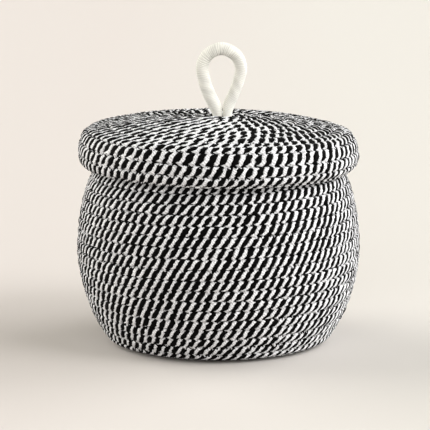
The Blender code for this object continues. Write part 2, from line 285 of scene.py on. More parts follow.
lidForm = {
    "clearance": 4.5 * mm,
    "bulge": 5.0 * mm,
    "crownInset": 13.5 * mm,
    "crownDrop": 11.0 * mm,
    "skirtDrop": 33.5 * mm,
    "seatGap": 0.3 * mm,
    # points of the crown and of the skirt, as shares of the way out and down
    "crownShares": ((0.0, 0.0), (0.35, 0.0), (0.65, 0.09), (0.87, 0.45)),
    "skirtShares": ((0.0, 0.0), (0.70, 0.25), (1.0, 0.55), (0.91, 0.82)),
    "rowPitch": 11.0 * mm,
    "rowPhase": 0.40,
    "pairs": (
        (-0.6, 6.5), (0, 13.0), (1, 22.0), (2, 29.0), (3, 34.5), (4, 40.5), (5, 50.0), (6, 59.8),
        (7, 66.0), (8, 72.7), (9, 77.0), (10, 79.2), (11, 89.1), (12, 88.8), (13, 86.7),
    ),
    "wander": 0.07,
    "wanderWaves": (10.0, 40.0),
    "rowGroove": 2.3 * mm,
    "edgeTilt": 2.4 * mm,      # the lower edge hangs this much lower on the right
    "edgeTrim": 2.4 * mm,      # and ends this much higher all round than the outline
    "holeReach": 40.0 * mm,    # the rows inside this radius make room for the legs of the loop
    # what the soft lid adds to the outline, each between lengths along it: the padded shoulder stands
    # higher, its rows stand further out, the crown dips, its middle rises round the loop's foot, and
    # the whole upper side leans to the right
    "shoulderRise": 4.7 * mm,
    "shoulder": (105.6 * mm, 126.6 * mm, 146.8 * mm),
    "rowSlide": 3.5 * mm,
    "slideSpan": (20.0 * mm, 100.0 * mm, 127.0 * mm, 150.0 * mm),
    "crownDip": 0.5 * mm,
    "dipSpan": (45.0 * mm, 75.0 * mm, 85.0 * mm, 105.0 * mm),
    "crownRise": 3.2 * mm,
    "riseSpan": (8.0 * mm, 92.0 * mm),
    "slope": 0.015,
    "slopeSpan": (30.0 * mm, 60.0 * mm),
}


def bodyOutline():
    # from the middle of the base out to the foot, up over the belly and in to the neck
    form = bodyForm
    foot = form["baseRadius"] + form["footWidth"]
    belly, neck = form["bellyRadius"], form["neckRadius"]
    low, climb = form["bellyHeight"], form["neckHeight"] - form["bellyHeight"]
    points = [(0.0, 0.0), (form["baseRadius"], 0.0)]
    points += [(foot + (belly - foot) * out, low * up) for out, up in form["lowerShares"]]
    points += [(belly - (belly - neck) * back, low + climb * up) for back, up in form["upperShares"]]
    rim = form["rimHeight"] - form["cordThickness"] / 2
    points += [(neck, form["neckHeight"]), (neck - form["rimInset"], rim)]
    line = smoothLine(points)
    line[:, 1] = np.maximum(line[:, 1], 0.0)
    return Outline(line)


def lidOutline():
    # the crown and the skirt, let down until the underside rests on the rim
    form = lidForm
    thick = bodyForm["cordThickness"]
    foot = bodyForm["neckRadius"] + form["clearance"] + thick
    crown = foot + form["bulge"] - form["crownInset"]
    points = [(crown * out, -form["crownDrop"] * down) for out, down in form["crownShares"]]
    for out, down in form["skirtShares"]:
        points.append((crown + form["crownInset"] * out, -form["crownDrop"] - form["skirtDrop"] * down))
    points.append((foot, -form["crownDrop"] - form["skirtDrop"]))
    line = smoothLine(points)
    flat = Outline(line)
    radius, height, run, rise = flat.at(np.linspace(0.0, flat.lengthAtRadius(crown), 1600))
    radius, height = radius + rise * thick, height - run * thick
    rim = bodyForm["neckRadius"] - bodyForm["rimInset"] - thick / 2
    reach = thick / 2 + form["seatGap"]
    near = np.abs(radius - rim) < reach
    seat = np.min(height[near] - np.sqrt(reach ** 2 - (radius[near] - rim) ** 2))
    lift = bodyForm["rimHeight"] - thick / 2 - seat
    return Outline(line + np.array([0.0, lift])), lift


loop = {
    "windingThickness": 1.1 * mm,
    "coreGap": 0.3 * mm,
    "holeGap": 0.3 * mm,
    "legHalf": 4.5 * mm,       # from the middle between the legs to either one, under the lid
    "legRadius": 4.4 * mm,
    # middle line of either side from the lid up, in millimetres: places right of the loop's middle and
    # above the lid, and the cord's radius there. It is fuller over the bend and squeezed at its foot
    "left": (
        (-4.6, 3.5, 4.5), (-6.2, 10.3, 5.7), (-12.1, 22.4, 5.8), (-16.3, 34.6, 5.9), (-18.2, 47.2, 5.9),
        (-13.3, 58.0, 5.85),
    ),
    "top": (-0.6, 63.7, 6.1),
    "right": (
        (4.5, 3.5, 4.3), (5.7, 11.4, 5.2), (11.4, 24.9, 5.1), (15.6, 37.2, 5.3), (16.8, 47.8, 5.6),
        (11.9, 58.0, 5.8),
    ),
    "entryDepth": 2.5 * mm,    # the legs are straight below this depth under the lid's top
    "middleDrop": 1.0 * mm,    # of the point in the middle of that stretch
    "legTail": 2.5 * mm,
    "coreTail": 1.0 * mm,
    "offset": 3.5 * mm,        # of the loop to the right of the lid's middle
}
lashing = {
    "thread": 2.0 * mm,
    "spacing": 0.5 * mm,
    "gap": 0.3 * mm,
    "turns": 3,
    "points": 330,
    "sides": 12,
    "lay": 5.0 * mm,           # length in which its two plies go half round each other
    "relief": 0.16,
}


def makeRoom(x, y):
    # near the lid's middle the rows keep clear of the two legs: a circle of radius r becomes an
    # oval that is the legs' outline plus what is left of r, and the warp fades out with r
    big = lidForm["holeReach"]
    half = loop["legHalf"]
    wide = loop["legRadius"] + loop["holeGap"]
    radius, angle = np.hypot(x, y), np.arctan2(y, x)
    side, ahead = np.abs(np.sin(angle)), np.abs(np.cos(angle))
    straight = wide * ahead < half * side
    hole = np.where(
        straight, wide / np.maximum(side, 1e-6),
        half * ahead + np.sqrt(np.maximum(wide ** 2 - (half * side) ** 2, 0.0)),
    )
    inside = radius < big
    warped = hole + radius * (1.0 - hole / big)
    shift = loop["offset"] * (1.0 - smooth(radius, 0.0, big))
    return (
        np.where(inside, warped * np.cos(angle) + shift, x),
        np.where(inside, warped * np.sin(angle), y),
    )


counting = {
    "lead": 0.42,              # of a row that the winding starts before the middle
    "front": 0.72,             # turns from the start of a row to its front
    "places": 60000,
    "waves": 14,
    "seed": 7,
}


class Cord:
    # a cord wound in rows along an outline; hand is 1 where the cord lies left of the outline and its
    # stitches point onwards, and -1 where it lies right and they point back
    def __init__(self, outline, hand, form, room=None):
        self.outline, self.hand, self.form, self.room = outline, hand, form, room
        self.pitch, self.phase = form["rowPitch"], form["rowPhase"]
        self.half = bodyForm["cordThickness"] / 2

    def end(self, angle):
        # length at which the last row begins to round the edge
        return self.outline.lengths[-1] - self.form["edgeTrim"] + self.form["edgeTilt"] * np.cos(angle)

    def limit(self, angle):
        # half way round the edge
        return self.end(angle) + self.half * math.pi / 2

    def place(self, along, angle, depth, face):
        # face 1 is the outer side and -1 the inner; past the end the place goes on over the half
        # circle of the edge, up to just past its middle; depth is how far it lies below the crest of
        # the rows. The lid's rows slide outwards where its shoulder swells
        base = np.clip(along, 0.0, self.end(angle))
        over = np.clip((along - base) / self.half, 0.0, 0.55 * math.pi)
        over = np.where(along > 0.0, over, 0.0)
        if "rowSlide" in self.form:
            base = base + self.form["rowSlide"] * swell(base, *self.form["slideSpan"])
        radius, height, run, rise = self.outline.at(base)
        outR, outZ = self.hand * rise, -self.hand * run
        reach = self.half - depth
        radius = radius - self.half * outR + reach * (face * np.cos(over) * outR + np.sin(over) * run)
        height = height - self.half * outZ + reach * (face * np.cos(over) * outZ + np.sin(over) * rise)
        radius = np.maximum(radius, 0.0)
        x, y = radius * np.cos(angle), radius * np.sin(angle)
        if face > 0:
            height = self.lifted(height, base, x)
        if self.room:
            x, y = self.room(x, y)
        return np.stack([x, y, np.maximum(height, 0.0)], axis=-1)

    def lifted(self, height, base, x):
        # the outer side's height, with what the foot or the lid's soft upper side adds to it
        form = self.form
        if "foot" in form:
            start, crest, stop = form["foot"]
            height = height + form["footGap"] * swell(base, start, crest, crest, stop)
        if "shoulder" in form:
            start, crest, stop = form["shoulder"]
            height = height + form["shoulderRise"] * swell(base, start, crest, crest, stop)
            height = height - form["crownDip"] * swell(base, *form["dipSpan"])
            leaning = swell(base, *form["slopeSpan"], stop, self.outline.lengths[-1])
            height = height - form["slope"] * x * leaning
            height = height + form["crownRise"] * (1.0 - smooth(base, *form["riseSpan"]))
        return height

    def stitchAngles(self, offset):
        # the number of pairs worked since the start is the pairs in a turn, added up along the
        # winding; a stitch stands wherever that number plus its offset is whole
        form = self.form
        last = self.limit(0.0) / self.pitch - self.phase
        turns = np.linspace(-self.phase - counting["lead"], last, counting["places"])
        rows, pairs = np.array(form["pairs"]).T
        count = np.interp(turns, rows + counting["front"], pairs)
        worked = np.concatenate([[0.0], np.cumsum(0.5 * (count[1:] + count[:-1]) * np.diff(turns))])
        # the worker's hand is uneven, so the number wanders by slow waves of many lengths
        rng = np.random.default_rng(counting["seed"])
        many = counting["waves"]
        waves = np.stack([1.0 / rng.uniform(*form["wanderWaves"], many), rng.uniform(0.0, 1.0, many)])
        stray = np.sin(turn * (worked[:, None] * waves[0] + waves[1])).sum(axis=1) / math.sqrt(many / 2)
        worked = worked + form["wander"] * stray
        whole = np.arange(math.ceil(offset), worked[-1]) + offset % 1.0
        at = np.interp(whole, worked, turns)
        return at * turn, turn / np.interp(at, turns, count)


bodyLine = bodyOutline()
lidLine, lidTop = lidOutline()
bodyCord = Cord(bodyLine, 1, bodyForm)
lidCord = Cord(lidLine, -1, lidForm, makeRoom)


def rowBulge(share, depth):
    # half a circle across the row: nothing at its crest and nearly the whole depth where rows meet
    return depth * (1.0 - np.sqrt(np.maximum(1.0 - 0.97 * (2.0 * share - 1.0) ** 2, 0.0)))


# Stitches of yarn over the cord; lengths across are in pairs of stitches and lengths up in rows, with
# 0 half way up the row

stitch = {
    # places across a stitch, of which the middle one parts its two strands, and up either strand
    "across": (-1.0, -0.52, 0.0, 0.52, 1.0),
    "leftUp": (-0.455, -0.44, -0.41, -0.34, -0.19, 0.0, 0.2, 0.36, 0.485),
    "rightUp": (-0.75, -0.65, -0.53, -0.40, -0.20, 0.0, 0.2, 0.36, 0.485),
    "partingUp": (-0.48, 0.02),  # lowest place of the parting, and how much lower it runs
    "insideUp": (-0.50, -0.36, -0.12, 0.12, 0.36, 0.50),
    "insideLean": -0.28,
    "insideRelief": 0.9,       # share of the strands' relief there
    "insideTuck": (0.40, 0.5),
    "sway": 0.22,              # how much flatter its ends lie than its middle
    "spill": 0.012,            # how far it runs in under the next
    "knobs": 0.22,             # share of its width by which a strand swells and narrows
    "knobWaves": (3.1, 0.25),  # of them up a row, and how far they shift across the strand
    "strandRelief": 0.90 * mm,  # from a strand's crest down to its edge
    "seamRelief": 0.50 * mm,   # between the two strands of a stitch
    "notchDepth": 1.1 * mm,    # of the deepest parting near the top
    "notchSpan": (0.24, 0.42),
    "tuck": 1.6 * mm,          # how far the top goes in under the row above
    "tuckSpan": (0.41, 0.5),
    "endSpan": (0.22, 0.5),    # of the two ends, up and down from the middle
    "blackSink": 0.2 * mm,     # of a black strand's ends
    "blackLift": 0.1 * mm,     # of all of it
    # tail of the lower left corner
    "tailFrom": 0.27,          # down from the middle
    "tailHeight": 0.2,
    "tailCurve": 1.5,
    "tailAtEdge": 0.85,        # how much shorter it is at the cord's edge
    "tailLift": 0.35 * mm,
    "blackTail": 0.5,          # share of it that a black stitch has
    # hook of the upper right corner
    "hookSpan": (0.16, 0.46),
    "hookDrop": 0.35,          # how much it shortens the strand
    "hookLift": 0.45 * mm,
    "blackHook": 0.2,
    # neck of the right strand, which goes down over the row below
    "biteShare": 0.70,         # of the stitches have a whole one
    "stubShare": 0.15,         # of it that the others have, and lie deeper
    "stubSink": 1.6 * mm,
    "biteLift": 0.50 * mm,
    "neckHeight": 0.22,
    "neckNarrow": 0.25,
    "neckAside": 0.05,
    "neckEdge": 0.6 * mm,      # how much deeper its outer edge lies
    "neckDepth": 0.8 * mm,     # where the rows meet
    "neckSpan": (0.1, 0.45),
    "neckTip": 1.4 * mm,
    "tipSpan": (0.95, 1.12),
    # how unevenly the stitches are worked: shares of a length, pairs aside and millimetres of depth
    "uneven": {"length": 0.018, "lean": 0.09, "width": 0.07, "tail": 0.5, "hook": 0.6, "aside": 0.028,
               "depth": 0.10, "rough": 0.050, "insideLean": 0.15, "insideAside": 0.03},
    # lengths along the cord's outline between which the values below change, and those for the slant
    "changeSpan": (100.0 * mm, 128.0 * mm),
    "leanSpan": (122.0 * mm, 136.0 * mm),
    "leastRoom": 0.25,         # of a row, for a stitch of the last row
    "edgeSpan": (-0.02, 0.25),  # missing part of its row at which a stitch becomes one of the edge
    "overEdge": 0.2 * mm,      # how far a stitch may reach past the middle of the edge
}
# per cord; a pair of values is for the rows towards its middle and for those at its rim
bodyStitch = {
    "white": (0.435, 0.435),   # share of a pair of stitches that is white at the front
    "sides": (0.0, 0.0),       # how much less it is at the far left and right
    "whiter": 0.04,            # and its change towards the right
    "flare": (-0.10, -0.10),   # how much wider a white strand is at its two ends
    "pinch": (0.16, 0.16),     # how much narrower a black one is there
    "reach": (0.0, 0.0),       # how much longer a white strand is
    "loose": (1.2, 1.2),       # how unevenly they are worked
    "lean": (0.70, 0.70),      # how far they slant to the right, in pairs
    "leanLeft": (0.0, 0.0),    # how much more they slant at the far left
    "tail": 0.20,              # of the lower left corner, in pairs
    "hook": 0.12,              # of the upper right corner
}
lidStitch = {
    "white": (0.39, 0.44),
    "sides": (0.23, 0.0),
    "whiter": 0.04,
    "flare": (0.34, 0.04),
    "pinch": (0.50, 0.16),
    "reach": (0.08, 0.0),
    "loose": (1.8, 1.2),
    "lean": (0.50, 0.52),
    "leanLeft": (0.0, 0.30),
    "tail": 0.26,
    "hook": 0.20,
}


class Hand:
    # seeded draws for an uneven hand: one for each stitch, or one for each of its points
    def __init__(self, seed, shape):
        self.rng, self.shape = np.random.default_rng(seed), shape

    def rough(self, shape, spread):
        return self.rng.normal(0.0, spread, shape).clip(-2.0 * spread, 2.0 * spread)

    def vary(self, spread):
        return self.rough(self.shape, spread)

    def chance(self):
        return self.rng.random(self.shape)


def ribbonFaces(count, stations, columns, flip):
    # each stitch is a closed strip: its columns on top, one face below, and a cap at either end
    quads, caps = gridFaces(stations, columns), endCaps(stations, columns)
    if flip:
        quads, caps = quads[:, ::-1], caps[:, ::-1]
    start = stations * columns * np.arange(count)[:, None, None]
    return [(quads + start).reshape(-1, 4), (caps + start).reshape(-1, columns)]


def outerStitch(hand, work):
    # two strands side by side that slant up to the right in an S-curve. The lower left corner is
    # pulled along the row, the right strand goes down over the row below, and the top turns over to
    # the right and dives in under the row above. Gives the place up the row, the place along it in
    # pairs, and the depth below the crest
    form, black, groove, loose = (work[key] for key in ("form", "black", "groove", "loose"))
    uneven = stitch["uneven"]
    atHead = work["atEdge"] * (work["upward"] > 0)
    atFoot = work["atEdge"] * (work["upward"] < 0)
    across = np.array(stitch["across"])[None, None, :]
    left = np.array(stitch["leftUp"])[None, :, None]
    right = np.array(stitch["rightUp"])[None, :, None]

    # how far up each point lies
    bite = (hand.chance() < stitch["biteShare"]) * (1.0 - smooth(atFoot, 0.0, 0.1))
    stub = stitch["stubShare"]
    right = np.where(right < -0.5, -0.5 + (right + 0.5) * (stub + (1.0 - stub) * bite), right)
    lowest, lower = stitch["partingUp"]
    up = np.where(across > 0.0, right, left)
    up = np.where(across == 0.0, np.maximum(left, lowest) - lower, up)
    up = up * (1.0 + work["reach"]) + hand.vary(uneven["length"])
    within = np.clip(up, -0.5, 0.5)

    # how far aside: slant, width with its knobs, tail, hook and neck
    sway = stitch["sway"]
    curve = within * (1.0 - sway) + sway * 4.0 * within ** 3  # a straight line and a cube, blended
    side = work["lean"] * (1.0 + hand.vary(uneven["lean"]) * loose) * curve
    nearEnd = smooth(np.abs(within), *stitch["endSpan"])
    free = 1.0 - work["atEdge"] * (up * work["upward"] > 0)
    waves, shift = stitch["knobWaves"]
    narrow = 1.0 + work["flare"] * nearEnd * free
    narrow = narrow + stitch["knobs"] * np.sin(turn * (waves * within + hand.chance() + shift * across))
    tail = form["tail"] * np.abs(1.0 + hand.vary(uneven["tail"])) * (1.0 - stitch["tailAtEdge"] * atFoot)
    tail = tail * (stitch["blackTail"] if black else 1.0)
    pull = np.clip((-stitch["tailFrom"] - up) / stitch["tailHeight"], 0.0, 1.0) ** stitch["tailCurve"]
    pulled = tail * pull * (across < 0.0)
    hook = form["hook"] * np.abs(1.0 + hand.vary(uneven["hook"])) * (stitch["blackHook"] if black else 1.0)
    turned = hook * smooth(up, *stitch["hookSpan"]) * np.clip(across, 0.0, 1.0)
    up = up - stitch["hookDrop"] * turned * (1.0 - atHead)
    neck = np.clip((-0.5 - up) / stitch["neckHeight"], 0.0, 1.3) * (across > 0.0)
    spread = work["half"] * narrow * across
    drawn = spread * (1.0 - stitch["neckNarrow"] * neck) + stitch["neckAside"] * neck
    spread = np.where(neck > 0.0, drawn, spread)
    side = side + spread - pulled + turned + hand.vary(uneven["aside"]) * loose
    side = side + hand.rough(up.shape, uneven["rough"])

    # how deep: edges, the parting and its notch, the row's own round, and the neck on the row below
    notch = stitch["notchDepth"] * hand.chance() ** 3 * smooth(up, *stitch["notchSpan"])
    depth = (
        stitch["strandRelief"] * (np.abs(across) > 0.9)
        + (stitch["seamRelief"] + notch) * (across == 0.0)
        + rowBulge(np.clip(within + 0.5, 0.0, 1.0), groove) * free
        + (stitch["blackSink"] * nearEnd - stitch["blackLift"] if black else 0.0)
        + stitch["tuck"] * smooth(up, *stitch["tuckSpan"]) * (1.0 - atHead)
        - stitch["hookLift"] * (turned > 0.01) * (across > 0.9)
    )
    onNeck = (
        rowBulge(np.clip(1.5 + up, 0.0, 1.0), groove) - stitch["biteLift"]
        + stitch["neckEdge"] * (across > 0.9)
        + stitch["neckDepth"] * (1.0 - smooth(neck, *stitch["neckSpan"]))
        + stitch["neckTip"] * smooth(neck, *stitch["tipSpan"])
        + (1.0 - bite) * stitch["stubSink"]
    )
    depth = np.where(neck > 0.0, onNeck, depth) - stitch["tailLift"] * (pulled > 0.0)
    depth = depth + hand.vary(uneven["depth"]) * mm
    return up, side, depth + hand.rough(up.shape, uneven["depth"]) * mm


def innerStitch(hand, work):
    # the same two strands where they cross the inner side of the cord, slanting the other way
    uneven = stitch["uneven"]
    across = np.array(stitch["across"])[None, None, :]
    # the first draw only keeps the later ones in their order
    up = np.array(stitch["insideUp"])[None, :, None] + 0.0 * hand.vary(1.0) + 0.0 * across
    side = stitch["insideLean"] * (1.0 + hand.vary(uneven["insideLean"])) * up
    side = side + work["half"] * across + hand.vary(uneven["insideAside"])
    depth = stitch["strandRelief"] * across ** 2 * stitch["insideRelief"]
    depth = depth + stitch["seamRelief"] * (across == 0.0)
    depth = depth + rowBulge(up + 0.5, work["groove"])
    tuck = stitch["tuck"] * smooth(np.abs(up), *stitch["insideTuck"])
    return up, side, depth + tuck * (1.0 - work["atEdge"] * (up * work["upward"] > 0.0))


def workStitches(cord, face, black, span, seed):
    # all stitches of one yarn on one side of a cord, between two lengths along its outline; black
    # stands half a pair after white, and the inner side half a pair after the outer
    inside = face < 0
    form = bodyStitch if cord is bodyCord else lidStitch
    angles, pair = cord.stitchAngles((0.5 if black else 0.0) + (0.5 if inside else 0.0))
    low = cord.pitch * (angles / turn + cord.phase)
    room = cord.limit(angles) - low
    middle = low + cord.pitch / 2
    keep = (middle >= span[0]) & (middle < span[1]) & (room > stitch["leastRoom"] * cord.pitch)
    angles, pair, low, room = (values[keep][:, None, None] for values in (angles, pair, low, room))
    hand = Hand(seed, angles.shape)

    def worked(key, lengths=stitch["changeSpan"]):
        # the value towards the middle, changing into the one at the rim between two lengths
        return form[key][0] + (form[key][1] - form[key][0]) * smooth(low, *lengths)

    white = worked("white") - worked("sides") * np.cos(angles) ** 2 + form["whiter"] * np.cos(angles)
    lean = worked("lean", stitch["leanSpan"]) - worked("leanLeft", stitch["leanSpan"]) * np.cos(angles)
    loose = worked("loose")
    width = 1.0 - white if black else white
    start, stop = stitch["edgeSpan"]
    work = {
        "form": form,
        "black": black,
        "loose": loose,
        "groove": cord.form["rowGroove"],
        "upward": cord.hand,
        "atEdge": smooth(cord.pitch - room, start * cord.pitch, stop * cord.pitch),
        "flare": -worked("pinch") if black else worked("flare"),
        "reach": 0.0 if black else worked("reach"),
        "lean": lean,
        "half": 0.5 * width * (1.0 + hand.vary(stitch["uneven"]["width"]) * loose) + stitch["spill"],
    }
    up, side, depth = innerStitch(hand, work) if inside else outerStitch(hand, work)
    spot = angles + side * pair
    below = cord.pitch * (spot / turn + cord.phase)
    tall = np.clip(cord.limit(spot) - below, 0.0, cord.pitch)
    rise = cord.hand * up + 0.5
    beyond = np.minimum(rise, 0.0) + np.maximum(rise - 1.0, 0.0)
    along = below + beyond * cord.pitch + np.clip(rise, 0.0, 1.0) * tall
    along = np.minimum(along, cord.limit(spot) + stitch["overEdge"])
    vertices = cord.place(along, spot, depth, face)
    faces = ribbonFaces(len(angles), *vertices.shape[1:3], inside)
    across = np.broadcast_to(np.array(stitch["across"]), spot.shape)
    uv = np.stack([across, np.broadcast_to(up, spot.shape) * cord.pitch / mm], -1)
    shade = np.broadcast_to(hand.chance(), spot.shape)
    return vertices.reshape(-1, 3), faces, uv.reshape(-1, 2), shade.ravel()


def joined(parts):
    # several sides' stitches as the arrays of one mesh
    start, faces = 0, []
    for vertices, own, _, _ in parts:
        faces += [part + start for part in own]
        start += len(vertices)
    vertices, uv, shade = (np.concatenate([part[i] for part in parts]) for i in (0, 2, 3))
    return vertices, faces, uv, shade


# The cord itself, under the stitches

core = {
    "depth": 1.25 * mm,        # of its crests below the crests of the stitches
    "extraGroove": 0.4 * mm,   # more than between the rows of stitches
    "edgeFade": 4.0 * mm,      # the rows fade out this far before the edge
    "spacing": 2.0 * mm,
    "columns": 144,
    # near black: partly the black yarn, partly painted shade where gaps and grooves between stitches show
    # the cord
    "darkShadeColour": (0.003, 0.003, 0.003),
    "paleShadeColour": (0.010, 0.010, 0.010),
    "fuzzScale": 1800.0,
}


def woundShell(name, cord):
    # closed shell round the axis: out along the outer side from the middle to half way round the
    # edge, and back along the inner side; its depth follows the rows as they climb with the angle
    columns = core["columns"]
    angles = turn * np.arange(columns) / columns
    count = int(cord.limit(0.0) / core["spacing"])
    share = np.linspace(0.0, 1.0, count)[:, None]
    along = share * cord.limit(angles)[None, :]
    rows = (along / cord.pitch - angles[None, :] / turn - cord.phase) % 1.0
    groove = cord.form["rowGroove"] + core["extraGroove"]
    fade = 1.0 - smooth(along - cord.end(angles), -core["edgeFade"], 0.0)
    depth = core["depth"] + rowBulge(rows, groove) * fade
    outer = cord.place(along, angles[None, :], depth, 1)
    inner = cord.place(along, angles[None, :], depth, -1)
    rings = np.concatenate([outer, inner[::-1][1:]])
    quads = gridFaces(len(rings), columns)
    if cord.hand < 0:
        quads = quads[:, ::-1]
    vertices = rings.reshape(-1, 3)
    ring = np.arange(columns)
    after = (ring + 1) % columns
    if cord.room:          # the ring at either side of the hole is joined to the other
        last = (len(rings) - 1) * columns
        wall = np.stack([ring + last, after + last, after, ring], -1)
        faces = [quads, wall[:, ::-1] if cord.hand < 0 else wall]
    else:                  # the two poles: each end ring is one point, so its faces are triangles
        vertices = vertices[columns - 1:len(vertices) - columns + 1]
        pole = len(vertices) - 1
        faces = [quads[columns:-columns] - (columns - 1)]
        faces.append(np.stack([np.zeros(columns, int), after + 1, ring + 1], -1))
        faces.append(np.stack([np.full(columns, pole), pole - columns + ring, pole - columns + after], -1))
    return newMesh(name, vertices, faces)


# Materials

plies = {
    "slant": 0.8,              # bands from the middle of a strand to its edge
    "wander": 0.9,
    "wanderScale": 420.0,
    "roundness": 0.6,          # lower is rounder
    # the hollows' colour is painted shade between the plies
    "paleness": 0.7,           # lower has less of the hollows' colour
    "fuzzScale": 2600.0,
    "height": 0.7,
    "roughness": 0.95,
    "crestRoughness": 0.12,    # less, on the crests
    "bumpHeight": 0.25 * mm,
    "sheenRoughness": 0.5,
}
# a row of values per yarn, with their names before it; plies are counted along a millimetre
plyInputs = ("colour", "paintedHollowShadeColour", "plyCount", "fuzz", "unevenness")
yarnValues = (*plyInputs, "bump", "sheen", "gloss")
# the second colour of each yarn is painted shade in the hollows between its plies
yarns = {
    "white": ((0.945, 0.948, 0.985), (0.49, 0.483, 0.49), 0.50, 0.35, 0.10, 0.25, 0.50, 0.25),
    "black": ((0.0016, 0.0014, 0.0014), (0.0005, 0.0005, 0.0005), 0.85, 0.35, 0.5, 0.3, 0.0, 0.09),
    "thread": ((0.89, 0.875, 0.825), (0.73, 0.71, 0.65), 0.70, 0.25, 1.0, 0.15, 0.10, 0.30),
    "lash": ((0.80, 0.78, 0.71), (0.50, 0.48, 0.42), 0.8, 0.3, 0.0, 0.3, 0.08, 0.25),
}


def yarnPlyGroup():
    # twisted plies along a strand: slanting bands in the yarn's own UV, with painted shade in the hollows
    # between them and fine fuzz over them
    group = bpy.data.node_groups.new("yarnPly", "ShaderNodeTree")
    for way, names in (("INPUT", plyInputs), ("OUTPUT", ("colour", "height", "roughness"))):
        for name in names:
            kind = "NodeSocketColor" if "olour" in name else "NodeSocketFloat"
            group.interface.new_socket(name, in_out=way, socket_type=kind)
    link = group.links.new
    given = nodeIn(group, "NodeGroupInput").outputs
    out = nodeIn(group, "NodeGroupOutput")

    def maths(operation, first, second):
        node = nodeIn(group, "ShaderNodeMath", operation=operation)
        for socket, value in zip(node.inputs, (first, second)):
            if isinstance(value, (int, float)):
                socket.default_value = value
            else:
                link(value, socket)
        return node.outputs[0]

    def noise(scale, detail):
        node = nodeIn(group, "ShaderNodeTexNoise")
        setInputs(node, {"Scale": scale, "Detail": detail})
        link(place.outputs["Object"], node.inputs["Vector"])
        return node.outputs["Fac"]

    uv = nodeIn(group, "ShaderNodeUVMap", uv_map="yarnUV")
    axes = nodeIn(group, "ShaderNodeSeparateXYZ")
    link(uv.outputs["UV"], axes.inputs["Vector"])
    place = nodeIn(group, "ShaderNodeTexCoord")
    # the bands turn with the distance along the strand and, less, with the place across it
    along = maths("MULTIPLY", axes.outputs["Y"], given["plyCount"])
    slant = maths("ADD", along, maths("MULTIPLY", axes.outputs["X"], plies["slant"]))
    slant = maths("ADD", slant, maths("MULTIPLY", noise(plies["wanderScale"], 1.0), plies["wander"]))
    bands = nodeIn(group, "ShaderNodeMath", operation="SINE")
    link(maths("MULTIPLY", slant, turn), bands.inputs[0])
    ply = maths("ADD", maths("MULTIPLY", bands.outputs[0], 0.5), 0.5)
    ply = maths("POWER", ply, plies["roundness"])
    fuzz = maths("MULTIPLY", noise(plies["fuzzScale"], 2.0), given["fuzz"])
    link(maths("ADD", maths("MULTIPLY", ply, plies["height"]), fuzz), out.inputs["height"])
    # painted shade: the colour darkens into the hollows between the plies
    mix = nodeIn(group, "ShaderNodeMix", data_type="RGBA")
    link(maths("POWER", ply, plies["paleness"]), mix.inputs[0])
    link(given["paintedHollowShadeColour"], mix.inputs[6])
    link(given["colour"], mix.inputs[7])
    # each stitch has its own brightness; on the handle's thread this also carries painted shade between the
    # turns and painted light at the foot
    own = nodeIn(group, "ShaderNodeAttribute", attribute_name="yarnToneAndPaintedShade")
    change = maths("MULTIPLY", maths("SUBTRACT", own.outputs["Fac"], 0.5), given["unevenness"])
    tint = nodeIn(group, "ShaderNodeVectorMath", operation="SCALE")
    link(mix.outputs[2], tint.inputs[0])
    link(maths("ADD", 1.0, change), tint.inputs["Scale"])
    link(tint.outputs[0], out.inputs["colour"])
    crest = maths("MULTIPLY", ply, plies["crestRoughness"])
    link(maths("SUBTRACT", plies["roughness"], crest), out.inputs["roughness"])
    return group


def addBump(tree, shader, height, strength, distance):
    bump = nodeIn(tree, "ShaderNodeBump")
    setInputs(bump, {"Strength": strength, "Distance": distance})
    tree.links.new(height, bump.inputs["Height"])
    tree.links.new(bump.outputs["Normal"], shader.inputs["Normal"])


def yarnMaterial(name, group):
    values = dict(zip(yarnValues, yarns[name]))
    material, tree, shader = newMaterial(name + " yarn")
    setInputs(shader, {
        "Specular IOR Level": values["gloss"],
        "Sheen Weight": values["sheen"],
        "Sheen Roughness": plies["sheenRoughness"],
    })
    ply = nodeIn(tree, "ShaderNodeGroup", node_tree=group)
    setInputs(ply, {key: values[key] for key in plyInputs})
    addBump(tree, shader, ply.outputs["height"], values["bump"], plies["bumpHeight"])
    tree.links.new(ply.outputs["colour"], shader.inputs["Base Color"])
    tree.links.new(ply.outputs["roughness"], shader.inputs["Roughness"])
    return material


def coreMaterial():
    # the cord that the stitches hide, near black with a fine fuzz: it stands in for the black yarn and is
    # painted shade in the gaps and grooves between the stitches
    material, tree, shader = newMaterial("cord with painted shade")
    setInputs(shader, {"Roughness": 0.95, "Specular IOR Level": 0.1})
    place = nodeIn(tree, "ShaderNodeTexCoord")
    fuzz = nodeIn(tree, "ShaderNodeTexNoise")
    setInputs(fuzz, {"Scale": core["fuzzScale"]})
    tree.links.new(place.outputs["Object"], fuzz.inputs["Vector"])
    mixColours(tree, shader, core["darkShadeColour"], core["paleShadeColour"], fuzz.outputs["Fac"])
    addBump(tree, shader, fuzz.outputs["Fac"], 0.4, 0.3 * mm)
    return material


# Loop handle

